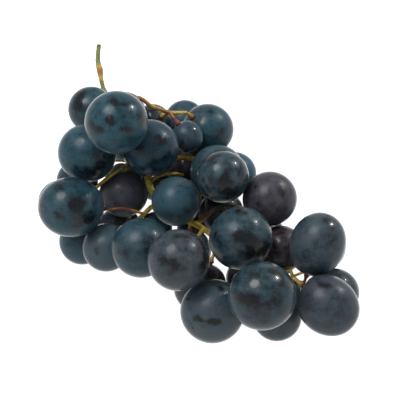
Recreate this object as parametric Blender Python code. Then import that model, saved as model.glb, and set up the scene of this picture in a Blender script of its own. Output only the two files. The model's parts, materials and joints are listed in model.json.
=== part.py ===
"""A bunch of dark blue grapes, cut with its stalk and lying on a table.

Every grape is a solid of its own. Their stalks are one more solid, because they grew as one piece: the
peduncle that was cut, the main stalk through the middle of the bunch, its side stalks, and one thin
pedicel for each grape, which widens into a small round seat just under the grape's skin.

Lengths are millimetres until the last step, which places the objects in metres. The table is the plane
z = 0 and the bunch is seen best from its front, SHOW_ANGLE above the table, so the grapes of that side are
placed as a person there sees them: to the right, up, and nearer than a point at the middle of the bunch.
"""

import heapq
import math

import bmesh
import bpy
import numpy as np
from mathutils import Matrix, Vector

MM = 0.001
SEED = 7

# The side that the bunch shows: its angle over the table and the height of the middle of the bunch.
SHOW_ANGLE = 40.0
MIDDLE_HEIGHT = 38.6

# What touches keeps this gap, and a low grape rests on a flat spot this deep.
GAP = 0.35
FLAT_DEPTH = 0.5
REST_REACH = 1.0

# A grape's shape: sides, rows of faces, and the dimple at its stalk as a share of its radius.
GRAPE_SIDES = 14
GRAPE_ROWS = 8
DIMPLE_DEPTH = 0.06
DIMPLE_SPREAD = 0.35
LEAST_WIDTH = 0.97

# Radii of the stalks, which grow with the number of grapes that hang on them.
PEDICEL_RADIUS = 0.65
STALK_GROWTH = 0.26
STALK_MOST = 1.5
SIDE_TAPER = 0.3
PEDUNCLE_RADIUS = 1.05
KNOT_RADIUS = 1.5
KNOT_LENGTH = 3.0
KNOT_POINT = 2
PEDUNCLE_FOOT = 4
ROOT_SHARE = 0.8
SEAT_PROFILE = ((3.6, 0.7), (1.7, 0.75), (0.7, 1.2), (0.0, 1.35))

# The lattice that the pedicels find their way through: its cells, how far it reaches from the grapes,
# and how much longer a way seems that shows from the front or squeezes past a grape.
CELL = 2.5
LATTICE_REACH = 9.0
TABLE_CLEARANCE = 1.5
SHOWING_COST = 2.5
TIGHT_ROOM = 1.8
TIGHT_COST = 0.4
STALK_STEP = 3.0
SMOOTHING_ROUNDS = 60

# How each grape is turned: the directions tried for its stalk, and how much a direction is worth that
# faces the front, or that leaves the wanted one, when the grape's free end can be seen and when not.
DIRECTIONS_TRIED = 90
FRONT_WORTH = 12.0
SEEN_END_WORTH = 30.0
UNSEEN_END_WORTH = 8.0

# Rounds that ease overlapping grapes apart, and how freely those that show leave their line of sight.
SETTLING_ROUNDS = 1500
SETTLING_STEP = 0.3
ACROSS_SIGHT = 0.1

# Grapes of the side that shows: name, right, up, near, diameter, skin, and the way the end without a
# stalk points (right, up, near), where that end can be seen.
SHOWN = (
    ("01", -48.0, 40.0, -25.5, 20.5, "bloomed", None),
    ("02", -34.0, 31.5, 16.0, 26.0, "bloomed", (-0.14, 0.02, 0.99)),
    ("03", -32.5, 37.5, -14.0, 18.5, "dark", None),
    ("04", -21.0, 34.5, -27.0, 16.5, "dark", None),
    ("05", -7.0, 36.5, -49.0, 19.5, "bloomed", None),
    ("06", 3.5, 31.5, -31.5, 23.0, "bloomed", None),
    ("07", -5.5, 27.5, -15.5, 14.0, "dark", None),
    ("08", -21.0, 22.0, -4.5, 24.5, "dark", (0.2, 0.1, 0.95)),
    ("09", -48.0, 20.0, -6.0, 25.0, "bloomed", None),
    ("10", -53.5, -3.0, 5.5, 25.5, "bloomed", None),
    ("11", -63.0, -1.0, -38.5, 20.5, "bloomed", None),
    ("12", -54.0, 8.5, -23.5, 18.5, "dark", None),
    ("13", -33.0, 3.0, -16.0, 21.5, "purple", (-0.1, 0.1, 0.98)),
    ("14", -36.0, -12.5, -30.0, 19.5, "dark", None),
    ("15", -51.0, -18.0, -19.0, 20.5, "bloomed", None),
    ("16", -39.5, -20.0, -2.5, 20.5, "bloomed", (-0.45, -0.14, 0.88)),
    ("17", -24.0, -19.5, 14.5, 24.5, "bloomed", (-0.49, -0.13, 0.86)),
    ("18", -8.5, -23.5, 33.5, 24.5, "bloomed", (-0.13, -0.18, 0.97)),
    ("19", -10.0, -0.5, 2.0, 21.0, "bloomed", (-0.1, 0.2, 0.97)),
    ("20", 9.5, 9.5, 10.0, 21.5, "bloomed", (0.1, 0.2, 0.97)),
    ("21", 7.5, 12.0, -13.0, 24.0, "bloomed", None),
    ("22", 15.5, 12.0, -36.0, 20.0, "bloomed", None),
    ("23", 29.0, 0.5, 4.0, 23.0, "purple", (-0.22, 0.24, 0.94)),
    ("24", 16.5, -15.5, 18.5, 26.5, "bloomed", (0.0, 0.12, 0.99)),
    ("25", 34.0, -20.5, 2.0, 20.0, "purple", (0.0, 0.67, 0.74)),
    ("26", 47.5, -18.0, 18.5, 23.0, "bloomed", None),
    ("27", 24.0, -37.0, 40.5, 27.0, "bloomed", (-0.34, 0.03, 0.94)),
    ("28", 51.0, -42.0, 25.0, 23.5, "purple", None),
    ("29", 56.5, -38.0, 2.0, 20.5, "bloomed", None),
    ("30", 5.0, -44.5, 23.0, 26.0, "bloomed", (-0.22, -0.22, 0.95)),
    ("31", 31.5, -47.0, 12.5, 20.5, "bloomed", None),
    ("32", 0.0, -35.5, 0.5, 22.5, "bloomed", None),
    ("33", 20.0, -32.5, -6.0, 18.5, "dark", None),
    ("34", -6.0, 14.5, -40.5, 19.0, "purple", None),
    ("35", 9.5, -5.5, -27.5, 20.0, "dark", None),
)

# Grapes behind and under them: name, x, y, z, diameter, skin.
BEHIND = (
    ("36", 8.0, 52.0, 11.0, 23.0, "bloomed"),
    ("37", -50.0, 46.0, 30.5, 23.0, "bloomed"),
    ("38", -28.0, 56.0, 30.5, 23.0, "purple"),
    ("39", -14.0, 68.0, 15.5, 23.0, "bloomed"),
    ("40", 27.0, 3.0, 15.0, 21.0, "dark"),
    ("41", 52.0, -6.0, 17.5, 21.0, "bloomed"),
    ("42", 32.0, 24.0, 17.5, 21.0, "bloomed"),
    ("43", -5.0, -2.5, 12.0, 20.0, "dark"),
    ("44", -10.0, 20.0, 22.5, 19.0, "dark"),
    ("45", -36.0, 36.0, 13.5, 19.0, "bloomed"),
    ("46", -12.0, 32.0, 8.0, 17.0, "purple"),
    ("47", -19.0, 5.5, 18.5, 14.0, "dark"),
    ("48", -20.5, 49.0, 9.5, 18.0, "dark"),
    ("49", -4.0, 19.0, 6.5, 13.0, "dark"),
    ("50", -37.0, 53.5, 8.0, 13.0, "purple"),
    ("51", -35.5, 71.5, 14.0, 18.5, "bloomed"),
    ("52", 5.0, 32.5, 8.0, 15.0, "bloomed"),
    ("53", 36.5, -23.0, 6.5, 14.0, "dark"),
)

# The length, towards the stalk, of the grapes that are plainly longer than they are wide.
LENGTHS = {"10": 28.0, "26": 27.0, "28": 26.5}

# The main stalk from its cut end to the tip of the bunch: right, up, near.
MAIN_STALK = (
    (-45.5, 70.0, -36.0),
    (-46.0, 63.0, -35.5),
    (-45.0, 58.5, -35.0),
    (-44.5, 55.0, -34.5),
    (-43.5, 50.5, -34.0),
    (-38.0, 31.5, -32.5),
    (-30.0, 19.0, -20.5),
    (-23.0, 11.0, -12.5),
    (-21.0, 4.5, -9.5),
    (-12.0, -5.0, -12.0),
    (1.0, -12.0, -5.0),
    (10.0, -19.0, 0.0),
    (20.0, -26.0, 7.0),
    (30.0, -31.5, 10.0),
    (37.5, -29.0, 8.0),
    (38.0, -31.5, 10.0),
)

# Side stalks that show between the grapes: the grape that each one ends on, if it does, the least
# radius at its start, and its points.
SIDE_STALKS = (
    (
        "06",
        1.2,
        (
            (-34.5, 26.0, -25.0),
            (-36.0, 26.5, -12.0),
            (-33.0, 30.5, -0.5),
            (-30.0, 37.0, 0.5),
            (-26.0, 43.5, -5.0),
            (-24.0, 42.5, -7.0),
            (-21.5, 40.5, -9.0),
            (-17.0, 39.0, -12.5),
            (-13.5, 38.0, -16.0),
            (-8.5, 38.0, -19.0),
        ),
    ),
    ("07", 0.75, ((-13.5, 38.0, -16.0), (-12.0, 36.5, -15.5))),
    (
        None,
        1.1,
        (
            (-29.0, 18.5, -19.0),
            (-30.0, 16.0, -15.0),
            (-33.5, 13.5, -8.5),
            (-38.0, 10.5, -7.0),
            (-43.0, 6.5, -9.0),
            (-45.0, 5.0, -11.0),
        ),
    ),
    (None, 0.9, ((-22.0, 18.5, -24.0), (-14.0, 18.5, -25.0), (-6.0, 18.5, -25.0), (-0.5, 18.0, -27.0))),
    (None, 0.9, ((-22.0, 7.5, -13.0), (-17.5, 10.5, -15.0), (-12.0, 11.5, -15.0), (-7.0, 11.0, -17.0))),
    (None, 1.2, ((-17.0, -1.5, -12.5), (-21.0, -3.0, -12.0), (-24.0, -6.0, -12.0), (-27.5, -9.0, -12.0))),
    ("10", 0.65, ((-24.0, -6.0, -12.0), (-28.5, -4.5, -6.5), (-33.0, -3.5, -5.0), (-37.5, -4.0, -4.5))),
    (None, 1.0, ((1.0, -12.0, -5.0), (-0.5, -15.0, 2.0))),
    (None, 1.2, ((-2.0, -10.5, -7.5), (2.5, -7.0, -11.0), (6.5, -4.0, -14.0), (10.0, -2.0, -15.5))),
    ("26", 0.9, ((38.0, -31.5, 10.0), (40.5, -33.5, 12.0))),
    ("28", 0.9, ((38.0, -31.5, 10.0), (37.0, -32.0, 15.0), (37.0, -32.0, 20.0))),
)

# The way from these grapes to their stalks, where the photograph shows it: right, up, near.
STALK_ENDS = {
    "06": (-0.62, 0.45, 0.65),
    "07": (-0.58, 0.78, 0.22),
    "10": (0.85, -0.05, -0.5),
    "26": (-0.28, -0.9, -0.33),
    "28": (-0.78, 0.62, -0.08),
}

SKINS = {
    "bloomed": ((62, 84, 104), 0.45),
    "dark": ((34, 40, 52), 0.3),
    "purple": ((52, 44, 58), 0.35),
}
STALK_COLOUR = ((138, 120, 52), 0.6)


def show_axes():
    """The right, up and near directions of the side that shows, as the rows of a matrix."""
    angle = math.radians(SHOW_ANGLE)
    return np.array(
        (
            (1.0, 0.0, 0.0),
            (0.0, math.sin(angle), math.cos(angle)),
            (0.0, -math.cos(angle), math.sin(angle)),
        )
    )


def to_table(places):
    """Places given as right, up and near, turned into x, y and z over the table."""
    return np.array(places, float) @ show_axes() + (0.0, 0.0, MIDDLE_HEIGHT)


def settled(places, radii, shown):
    """Grapes that overlap are eased apart, those that show mostly along the line of sight, and the
    lowest ones are let down on the table."""
    near = show_axes()[2]
    along_sight = ACROSS_SIGHT * np.eye(3) + (1.0 - ACROSS_SIGHT) * np.outer(near, near)
    ways = np.array([along_sight if seen else np.eye(3) for seen in shown])
    places = places.copy()
    reach = radii[:, None] + radii[None] + GAP
    for _ in range(SETTLING_ROUNDS):
        apart = places[:, None] - places[None]
        distance = np.linalg.norm(apart, axis=2) + np.eye(len(radii)) * 1e3
        press = np.clip(reach - distance, 0.0, None)
        push = (apart * (press / distance)[..., None]).sum(axis=1) * SETTLING_STEP
        places += np.einsum("nij,nj->ni", ways, push)
        places[:, 2] = np.maximum(places[:, 2], radii - FLAT_DEPTH)
    low = places[:, 2] - radii < REST_REACH
    places[low, 2] = radii[low] - FLAT_DEPTH
    return places, low


def clearance(points, places, radii):
    """How far each point is from the nearest grape's skin."""
    distance = np.linalg.norm(points[:, None] - places[None], axis=2) - radii[None]
    return distance.min(axis=1)


def spread_directions(count):
    """Directions spread evenly over a sphere, along a spiral."""
    step = np.arange(count) + 0.5
    height = 1.0 - 2.0 * step / count
    turn = step * math.pi * (3.0 - math.sqrt(5.0))
    side = np.sqrt(1.0 - height**2)
    return np.column_stack((side * np.cos(turn), side * np.sin(turn), height))


def along(route, step):
    """Points every step along a smooth curve through a route's own points, which it keeps."""
    found = [route[0]]
    ends = np.vstack((2.0 * route[0] - route[1], route, 2.0 * route[-1] - route[-2]))
    for before, start, end, after in zip(ends, ends[1:], ends[2:], ends[3:]):
        parts = max(1, round(float(np.linalg.norm(end - start)) / step))
        leave = 0.5 * (end - before)
        arrive = 0.5 * (after - start)
        for k in range(1, parts + 1):
            t = k / parts
            bend = (1.0 - t) * leave - t * arrive + (2.0 * t - 1.0) * (end - start)
            found.append(start + (end - start) * t + t * (1.0 - t) * bend)
    return found


class Stalks:
    """The branching stalks: points, the point that each grew from, and the free space around them."""

    def __init__(self, places, radii, halves):
        self.places = places
        self.radii = radii
        self.halves = halves
        self.points = []
        self.parents = []
        self.grape_of = {}
        self.least_radius = {}
        self.lay_lattice()

    def lay_lattice(self):
        """A lattice of cells round the bunch. A cell that a pedicel fits through is free, and one
        that shows from the front costs more, because few stalks show there."""
        low = (self.places - self.radii[:, None]).min(axis=0) - CELL
        high = (self.places + self.radii[:, None]).max(axis=0) + CELL
        low[2] = TABLE_CLEARANCE
        self.counts = np.ceil((high - low) / CELL).astype(int) + 1
        self.low = low
        grid = np.indices(self.counts).reshape(3, -1).T
        self.cells = low + grid * CELL
        room = clearance(self.cells, self.places, self.radii)
        near = show_axes()[2]
        offset = self.cells[:, None] - self.places[None]
        depth = offset @ near
        aside = np.linalg.norm(offset - depth[..., None] * near, axis=2)
        covered = ((aside < self.radii[None]) & (depth < 0.0)).any(axis=1)
        self.free = (room > PEDICEL_RADIUS + GAP) & (room < LATTICE_REACH)
        self.cost = np.where(covered, 1.0, SHOWING_COST) + np.where(room < TIGHT_ROOM, TIGHT_COST, 0.0)
        self.distance = np.full(len(self.cells), np.inf)
        self.source = np.full(len(self.cells), -1)
        self.before = np.full(len(self.cells), -1)
        self.heap = []
        strides = np.array((self.counts[1] * self.counts[2], self.counts[2], 1))
        steps = [(i, j, k) for i in (-1, 0, 1) for j in (-1, 0, 1) for k in (-1, 0, 1)]
        self.steps = [
            (int(np.dot(step, strides)), CELL * math.sqrt(sum(abs(s) for s in step)))
            for step in steps
            if any(step)
        ]
        edge = (grid == 0).any(axis=1) | (grid == self.counts - 1).any(axis=1)
        self.free &= ~edge

    def cell_near(self, point, reach):
        """The free cell nearest to a point, or None where there is none within reach."""
        distance = np.linalg.norm(self.cells - point, axis=1) + np.where(self.free, 0.0, 1e3)
        cell = int(distance.argmin())
        return cell if distance[cell] < reach else None

    def add(self, point, parent):
        self.points.append(np.array(point, float))
        self.parents.append(parent)
        return len(self.points) - 1

    def add_route(self, route, parent):
        """A route of points, each grown from the one before it, that starts on an older point."""
        added = []
        for point in along(route, STALK_STEP):
            parent = self.add(point, parent)
            added.append(parent)
        return added

    def nearest(self, point):
        gaps = np.linalg.norm(np.array(self.points) - point, axis=1)
        return int(gaps.argmin())

    def offer(self, nodes):
        """Lets pedicels start from these points, and works out the way to them from every cell."""
        for node in nodes:
            cell = self.cell_near(self.points[node], 2.0 * CELL)
            if cell is not None and self.distance[cell] > 0.0:
                self.distance[cell] = 0.0
                self.source[cell] = node
                self.before[cell] = -1
                heapq.heappush(self.heap, (0.0, cell))
        while self.heap:
            far, cell = heapq.heappop(self.heap)
            if far > self.distance[cell]:
                continue
            for stride, length in self.steps:
                other = cell + stride
                if not self.free[other]:
                    continue
                reached = far + length * self.cost[other]
                if reached < self.distance[other] - 1e-9:
                    self.distance[other] = reached
                    self.source[other] = self.source[cell]
                    self.before[other] = cell
                    heapq.heappush(self.heap, (reached, other))

    def seat(self, grape, direction, height):
        """The point at this height over the grape's skin, in this direction from its middle."""
        return self.places[grape] + (self.halves[grape] + GAP + height) * direction

    def best_end(self, grape, wanted, weight):
        """The direction in which the grape's stalk leaves it, and the cell where it sets off."""
        others = np.arange(len(self.radii)) != grape
        near = show_axes()[2]
        best = None
        for direction in np.vstack((spread_directions(DIRECTIONS_TRIED), wanted)):
            root = self.seat(grape, direction, SEAT_PROFILE[0][0])
            seat = self.seat(grape, direction, 0.5)
            pair = np.array((root, seat))
            room = clearance(pair, self.places[others], self.radii[others])
            if room[0] < PEDICEL_RADIUS + GAP or room[1] < SEAT_PROFILE[-1][1] + GAP:
                continue
            if min(root[2], seat[2]) < SEAT_PROFILE[-1][1] + GAP:
                continue
            cell = self.cell_near(root, 1.5 * CELL)
            if cell is None or not np.isfinite(self.distance[cell]):
                continue
            showing = max(0.0, float(direction @ near) + 0.2)
            astray = 1.0 - float(direction @ wanted)
            cost = self.distance[cell] + weight * astray + FRONT_WORTH * showing
            if best is None or cost < best[0]:
                best = (cost, direction, cell)
        return best[1], best[2]

    def hang(self, grape, direction, parent):
        """The last of a pedicel, straight into the grape, with its seat."""
        for height, _ in SEAT_PROFILE:
            parent = self.add(self.seat(grape, direction, height), parent)
        self.grape_of[parent] = grape

    def reach(self, grape, wanted, weight):
        """A pedicel from the nearest wood to the grape, by the shortest free way."""
        direction, cell = self.best_end(grape, wanted, weight)
        way = []
        while self.before[cell] >= 0:
            way.append(cell)
            cell = self.before[cell]
        parent = int(self.source[cell])
        added = []
        for step in way[::-1]:
            parent = self.add(self.cells[step], parent)
            added.append(parent)
        self.hang(grape, direction, parent)
        self.offer(added[:-2])
        return direction

    def loads(self):
        """How many grapes hang beyond each point."""
        load = np.zeros(len(self.points), int)
        for node in self.grape_of:
            while node >= 0:
                load[node] += 1
                node = self.parents[node]
        return load

    def chains(self, load):
        """The stalks as separate runs: each goes on into its most loaded branch, and the others
        start on it."""
        children = {}
        for node, parent in enumerate(self.parents):
            children.setdefault(parent, []).append(node)
        found = []
        starts = [(-1, children[-1][0])]
        while starts:
            parent, node = starts.pop()
            chain = [] if parent < 0 else [parent]
            while node is not None:
                chain.append(node)
                following = sorted(children.get(node, []), key=lambda child: (-load[child], child))
                starts += [(node, child) for child in following[1:]]
                node = following[0] if following else None
            found.append(chain)
        return found

    def smooth(self, chains, radius, fixed, routed):
        """Evens out the bends of every run, while each point keeps clear of the grapes. The points
        of a drawn route only move where a grape would touch them."""
        points = np.array(self.points)
        before = np.arange(len(points))
        after = np.arange(len(points))
        for chain in chains:
            before[chain[1:]] = chain[:-1]
            after[chain[1:-1]] = chain[2:]
        loose = ~fixed & (before != after)
        free = loose & ~routed & (after != np.arange(len(points)))
        for _ in range(SMOOTHING_ROUNDS):
            middle = 0.5 * (points[before] + points[after])
            points[free] += 0.5 * (middle - points)[free]
            offset = points[:, None] - self.places[None]
            distance = np.linalg.norm(offset, axis=2)
            short = self.radii[None] + radius[:, None] + GAP - distance
            push = (offset / distance[..., None] * np.clip(short, 0.0, None)[..., None]).sum(axis=1)
            points[loose] += push[loose]
            points[loose, 2] = np.maximum(points[loose, 2], radius[loose] + GAP)
        self.points = list(points)


def shown_first(shown, behind):
    """Names, places, radii, half lengths, skins and free ends of all the grapes."""
    names = [row[0] for row in shown] + [row[0] for row in behind]
    front = to_table([row[1:4] for row in shown])
    back = np.array([row[1:4] for row in behind], float)
    places = np.vstack((front, back))
    radii = np.array([row[4] / 2.0 for row in shown + behind])
    halves = np.array([LENGTHS.get(row[0], row[4]) / 2.0 for row in shown + behind])
    skins = [row[5] for row in shown + behind]
    free_ends = [row[6] for row in shown] + [None] * len(behind)
    return names, places, radii, halves, skins, free_ends


def grow(names, places, radii, halves, free_ends):
    """All the stalks, and the direction in which each grape meets its own."""
    stalks = Stalks(places, radii, halves)
    axes = show_axes()
    main = stalks.add_route(to_table(MAIN_STALK), -1)
    peduncle = stalks.nearest(to_table(MAIN_STALK)[PEDUNCLE_FOOT])
    routed = {}
    offered = main[peduncle + 1 :]
    for grape, width, route in SIDE_STALKS:
        route = to_table(route)
        added = stalks.add_route(route, stalks.nearest(route[0]))
        for count, node in enumerate(added):
            stalks.least_radius[node] = width * (1.0 - SIDE_TAPER * count / len(added))
        if grape is not None:
            routed[grape] = added[-1]
        offered += added
    drawn = len(stalks.points)
    stalks.offer(offered)
    directions = {}
    for grape, node in routed.items():
        direction = np.array(STALK_ENDS[grape]) @ axes
        directions[grape] = direction / np.linalg.norm(direction)
        stalks.hang(names.index(grape), directions[grape], node)
    wood = np.array(stalks.points)[offered]
    gaps = np.linalg.norm(places[:, None] - wood[None], axis=2)
    for index in np.argsort(gaps.min(axis=1) - radii, kind="stable"):
        name = names[index]
        if name in directions:
            continue
        if free_ends[index] is not None:
            wanted = -np.array(free_ends[index]) @ axes
            weight = SEEN_END_WORTH
        else:
            wanted = wood[gaps[index].argmin()] - places[index]
            weight = UNSEEN_END_WORTH
        wanted = wanted / np.linalg.norm(wanted)
        directions[name] = stalks.reach(int(index), wanted, weight)
    return stalks, peduncle, drawn, [directions[name] for name in names]


def stalk_radii(stalks, load, peduncle):
    """The radius at each point: thicker with more grapes beyond, wide at the seats and the knot."""
    radius = PEDICEL_RADIUS * np.maximum(load, 1) ** STALK_GROWTH
    radius = np.minimum(radius, STALK_MOST)
    for node, least in stalks.least_radius.items():
        radius[node] = max(radius[node], least)
    knot = to_table(MAIN_STALK)[KNOT_POINT]
    for node in range(peduncle + 1):
        swell = math.exp(-((np.linalg.norm(stalks.points[node] - knot) / KNOT_LENGTH) ** 2))
        radius[node] = PEDUNCLE_RADIUS + (KNOT_RADIUS - PEDUNCLE_RADIUS) * swell
    for node in stalks.grape_of:
        for _, width in SEAT_PROFILE[::-1]:
            radius[node] = width
            node = stalks.parents[node]
    return radius


def fixed_points(stalks, peduncle):
    """Which points stay where they are while the bends are evened out: the peduncle and the seats."""
    fixed = np.zeros(len(stalks.points), bool)
    fixed[: peduncle + 1] = True
    for node in stalks.grape_of:
        for _ in SEAT_PROFILE:
            fixed[node] = True
            node = stalks.parents[node]
    return fixed


def srgb(colour):
    """A colour given as 0 to 255 on a screen, in the linear values that a material takes."""
    values = [channel / 255.0 for channel in colour]
    return [v / 12.92 if v <= 0.04045 else ((v + 0.055) / 1.055) ** 2.4 for v in values]


def material(name, colour, roughness):
    made = bpy.data.materials.new(name)
    made.use_nodes = True
    shader = made.node_tree.nodes["Principled BSDF"]
    shader.inputs["Base Color"].default_value = (*srgb(colour), 1.0)
    shader.inputs["Roughness"].default_value = roughness
    shader.inputs["Metallic"].default_value = 0.0
    return made


def tube(name, points, radii, collection):
    """A closed tube along these points, whose width follows the radii, as a mesh object."""
    curve = bpy.data.curves.new(name, "CURVE")
    curve.dimensions = "3D"
    curve.bevel_depth = MM
    curve.bevel_resolution = 1
    curve.use_fill_caps = True
    spline = curve.splines.new("POLY")
    spline.points.add(len(points) - 1)
    for knot, point, radius in zip(spline.points, points, radii):
        knot.co = (*(point * MM), 1.0)
        knot.radius = radius
    guide = bpy.data.objects.new(name + "_line", curve)
    bpy.context.scene.collection.objects.link(guide)
    bpy.context.view_layer.update()
    evaluated = guide.evaluated_get(bpy.context.evaluated_depsgraph_get())
    mesh = bpy.data.meshes.new_from_object(evaluated)
    mesh.name = name
    shell = bmesh.new()
    shell.from_mesh(mesh)
    bmesh.ops.remove_doubles(shell, verts=shell.verts, dist=0.00001)
    bmesh.ops.recalc_face_normals(shell, faces=shell.faces)
    shell.to_mesh(mesh)
    shell.free()
    solid = bpy.data.objects.new(name, mesh)
    solid.matrix_world = guide.matrix_world
    collection.objects.link(solid)
    bpy.data.objects.remove(guide)
    bpy.data.curves.remove(curve)
    return solid


def fused_stalks(stalks, chains, radius, collection):
    """Every run as a tube, joined into one solid."""
    runs = bpy.data.collections.new("stalk_runs")
    bpy.context.scene.collection.children.link(runs)
    for count, chain in enumerate(chains):
        points = [stalks.points[node] for node in chain]
        widths = [radius[node] for node in chain]
        if count == 0:
            main = tube("stalks", points, widths, collection)
            continue
        widths[0] = min(widths[1], ROOT_SHARE * widths[0])
        tube(f"run_{count:02d}", points, widths, runs)
    union = main.modifiers.new("Join", "BOOLEAN")
    union.operation = "UNION"
    union.operand_type = "COLLECTION"
    union.collection = runs
    union.solver = "EXACT"
    bpy.context.view_layer.update()
    evaluated = main.evaluated_get(bpy.context.evaluated_depsgraph_get())
    joined = bpy.data.meshes.new_from_object(evaluated)
    main.modifiers.clear()
    main.data = joined
    for run in list(runs.objects):
        bpy.data.objects.remove(run)
    bpy.data.collections.remove(runs)
    return main


def grape(name, place, half, direction, width, rests, collection):
    """A grape whose +Z points to its stalk: nearly a ball, slimmer across by its width, with a
    dimple under the stalk and, on a low grape, the flat spot that it lies on."""
    shape = bmesh.new()
    bmesh.ops.create_uvsphere(shape, u_segments=GRAPE_SIDES, v_segments=GRAPE_ROWS, radius=half * MM)
    for corner in shape.verts:
        angle = math.acos(max(-1.0, min(1.0, corner.co.z / (half * MM))))
        dimple = DIMPLE_DEPTH * math.exp(-((angle / DIMPLE_SPREAD) ** 2))
        corner.co *= 1.0 - dimple
        corner.co.x *= width
        corner.co.y *= width
    turn = Vector((0.0, 0.0, 1.0)).rotation_difference(Vector(direction))
    matrix = Matrix.LocRotScale(Vector(place) * MM, turn, None)
    if rests:
        back = matrix.inverted()
        down = back.to_3x3() @ Vector((0.0, 0.0, -1.0))
        faces = shape.verts[:] + shape.edges[:] + shape.faces[:]
        cut = bmesh.ops.bisect_plane(
            shape, geom=faces, plane_co=back @ Vector((0.0, 0.0, 0.0)), plane_no=down, clear_outer=True
        )
        rim = [part for part in cut["geom_cut"] if isinstance(part, bmesh.types.BMEdge)]
        bmesh.ops.edgeloop_fill(shape, edges=rim)
    bmesh.ops.recalc_face_normals(shape, faces=shape.faces)
    mesh = bpy.data.meshes.new(name)
    shape.to_mesh(mesh)
    shape.free()
    solid = bpy.data.objects.new(name, mesh)
    solid.matrix_world = matrix
    collection.objects.link(solid)
    return solid


def finish(solid, skin, parent):
    """Gives a solid its material, its shading and its place under the bunch."""
    solid.data.materials.clear()
    solid.data.materials.append(skin)
    solid.data.shade_smooth()
    solid.data.set_sharp_from_angle(angle=math.radians(40.0))
    solid.parent = parent


def centre(solids):
    """Moves the bunch until the middle of its box's underside is the origin."""
    bpy.context.view_layer.update()
    corners = [
        np.array([tuple(solid.matrix_world @ corner.co) for corner in solid.data.vertices])
        for solid in solids
    ]
    low = np.min([points.min(axis=0) for points in corners], axis=0)
    high = np.max([points.max(axis=0) for points in corners], axis=0)
    middle = 0.5 * (low + high)
    for solid in solids:
        solid.location.x -= middle[0]
        solid.location.y -= middle[1]


def main():
    for old in list(bpy.data.objects):
        bpy.data.objects.remove(old)
    bunch = bpy.data.collections.new("bunch_of_grapes")
    bpy.context.scene.collection.children.link(bunch)
    parent = bpy.data.objects.new("bunch", None)
    bunch.objects.link(parent)
    random = np.random.default_rng(SEED)

    names, places, radii, halves, skins, free_ends = shown_first(SHOWN, BEHIND)
    places, rests = settled(places, radii, [k < len(SHOWN) for k in range(len(names))])
    stalks, peduncle, drawn, directions = grow(names, places, radii, halves, free_ends)
    load = stalks.loads()
    chains = stalks.chains(load)
    radius = stalk_radii(stalks, load, peduncle)
    routed = np.arange(len(radius)) < drawn
    stalks.smooth(chains, radius, fixed_points(stalks, peduncle), routed)

    materials = {name: material("skin_" + name, *values) for name, values in SKINS.items()}
    solids = [fused_stalks(stalks, chains, radius, bunch)]
    finish(solids[0], material("stalk", *STALK_COLOUR), parent)
    widths = random.uniform(LEAST_WIDTH, 1.0, len(names)) * radii / halves
    for k, name in enumerate(names):
        solid = grape(
            "grape_" + name, places[k], halves[k], directions[k], widths[k], bool(rests[k]), bunch
        )
        finish(solid, materials[skins[k]], parent)
        solids.append(solid)
    centre(solids)


main()
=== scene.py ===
# %% [markdown]
# # A bunch of dark blue grapes
# A bunch is a branching stalk with a round berry at the end of every fine branch. The solid model of it is
# loaded first and is never moved: plain berries and one fused set of stalks, lying on a table. This
# lesson gives each of them a fine surface and a finish: skin with a dusty bloom of wax, rubbed off in
# places, and stalks that go from olive green to orange and red.

import json
import math

import bpy
import numpy as np
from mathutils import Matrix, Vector


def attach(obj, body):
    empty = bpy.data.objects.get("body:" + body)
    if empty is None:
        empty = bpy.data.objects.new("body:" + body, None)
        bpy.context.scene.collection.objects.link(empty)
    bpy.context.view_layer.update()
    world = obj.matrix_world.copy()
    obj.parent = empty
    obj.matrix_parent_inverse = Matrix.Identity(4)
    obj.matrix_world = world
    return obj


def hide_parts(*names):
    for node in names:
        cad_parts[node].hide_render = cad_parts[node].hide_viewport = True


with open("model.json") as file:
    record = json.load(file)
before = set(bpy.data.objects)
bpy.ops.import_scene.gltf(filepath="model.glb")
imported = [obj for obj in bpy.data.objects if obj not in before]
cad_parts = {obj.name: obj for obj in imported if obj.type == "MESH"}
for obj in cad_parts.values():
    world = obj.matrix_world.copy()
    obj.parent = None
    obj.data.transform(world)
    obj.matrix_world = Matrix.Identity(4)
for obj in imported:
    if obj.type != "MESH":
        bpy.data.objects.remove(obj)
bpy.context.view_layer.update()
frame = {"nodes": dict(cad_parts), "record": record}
MM = 0.001

# %% [markdown]
# ## Reading a solid's corners
# Everything below is placed by the solids, so their corners are read first. A loaded mesh is loose
# triangles, with one copy of a corner for each triangle. Blender could merge them in edit mode; sorting
# the rounded corners with numpy does the same in one line and leaves the loaded mesh as it is. How many
# edges meet at a corner is worth knowing too, because the two poles of a ball of rows and columns have
# far more than any other corner.


# %% Read corners, triangles and spokes
CORNER_DIGITS = 6


def read_solid(node):
    """Merges a solid's corners. Returns the corners, the triangles by corner, and how many edges meet
    at each corner."""
    mesh = node.data
    mesh.calc_loop_triangles()
    points = np.empty(len(mesh.vertices) * 3, np.float32)
    mesh.vertices.foreach_get("co", points)
    triangles = np.empty(len(mesh.loop_triangles) * 3, np.int32)
    mesh.loop_triangles.foreach_get("vertices", triangles)
    points = np.round(points.reshape(-1, 3).astype(float), CORNER_DIGITS)
    corners, index = np.unique(points, axis=0, return_inverse=True)
    triangles = index.reshape(-1)[triangles].reshape(-1, 3)
    edges = np.sort(np.vstack((triangles[:, :2], triangles[:, 1:], triangles[:, ::2])), axis=1)
    edges = np.unique(edges, axis=0)
    return corners, triangles, np.bincount(edges.ravel(), minlength=len(corners))


# %% [markdown]
# ## Measuring the berries
# Each solid berry is a ball or a short egg, with a dimple where its stalk meets it and, on the lowest ones,
# a flat spot on the table. A ball through many points has a neat answer: the squared length of every point
# is twice its dot product with the centre plus one constant, so one least-squares sum gives the centre. The
# pole in the dimple is the one nearest to it, and the line to it is the berry's axis. With the axis known,
# the same kind of sum fits an egg that is longer or shorter along it.

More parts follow.
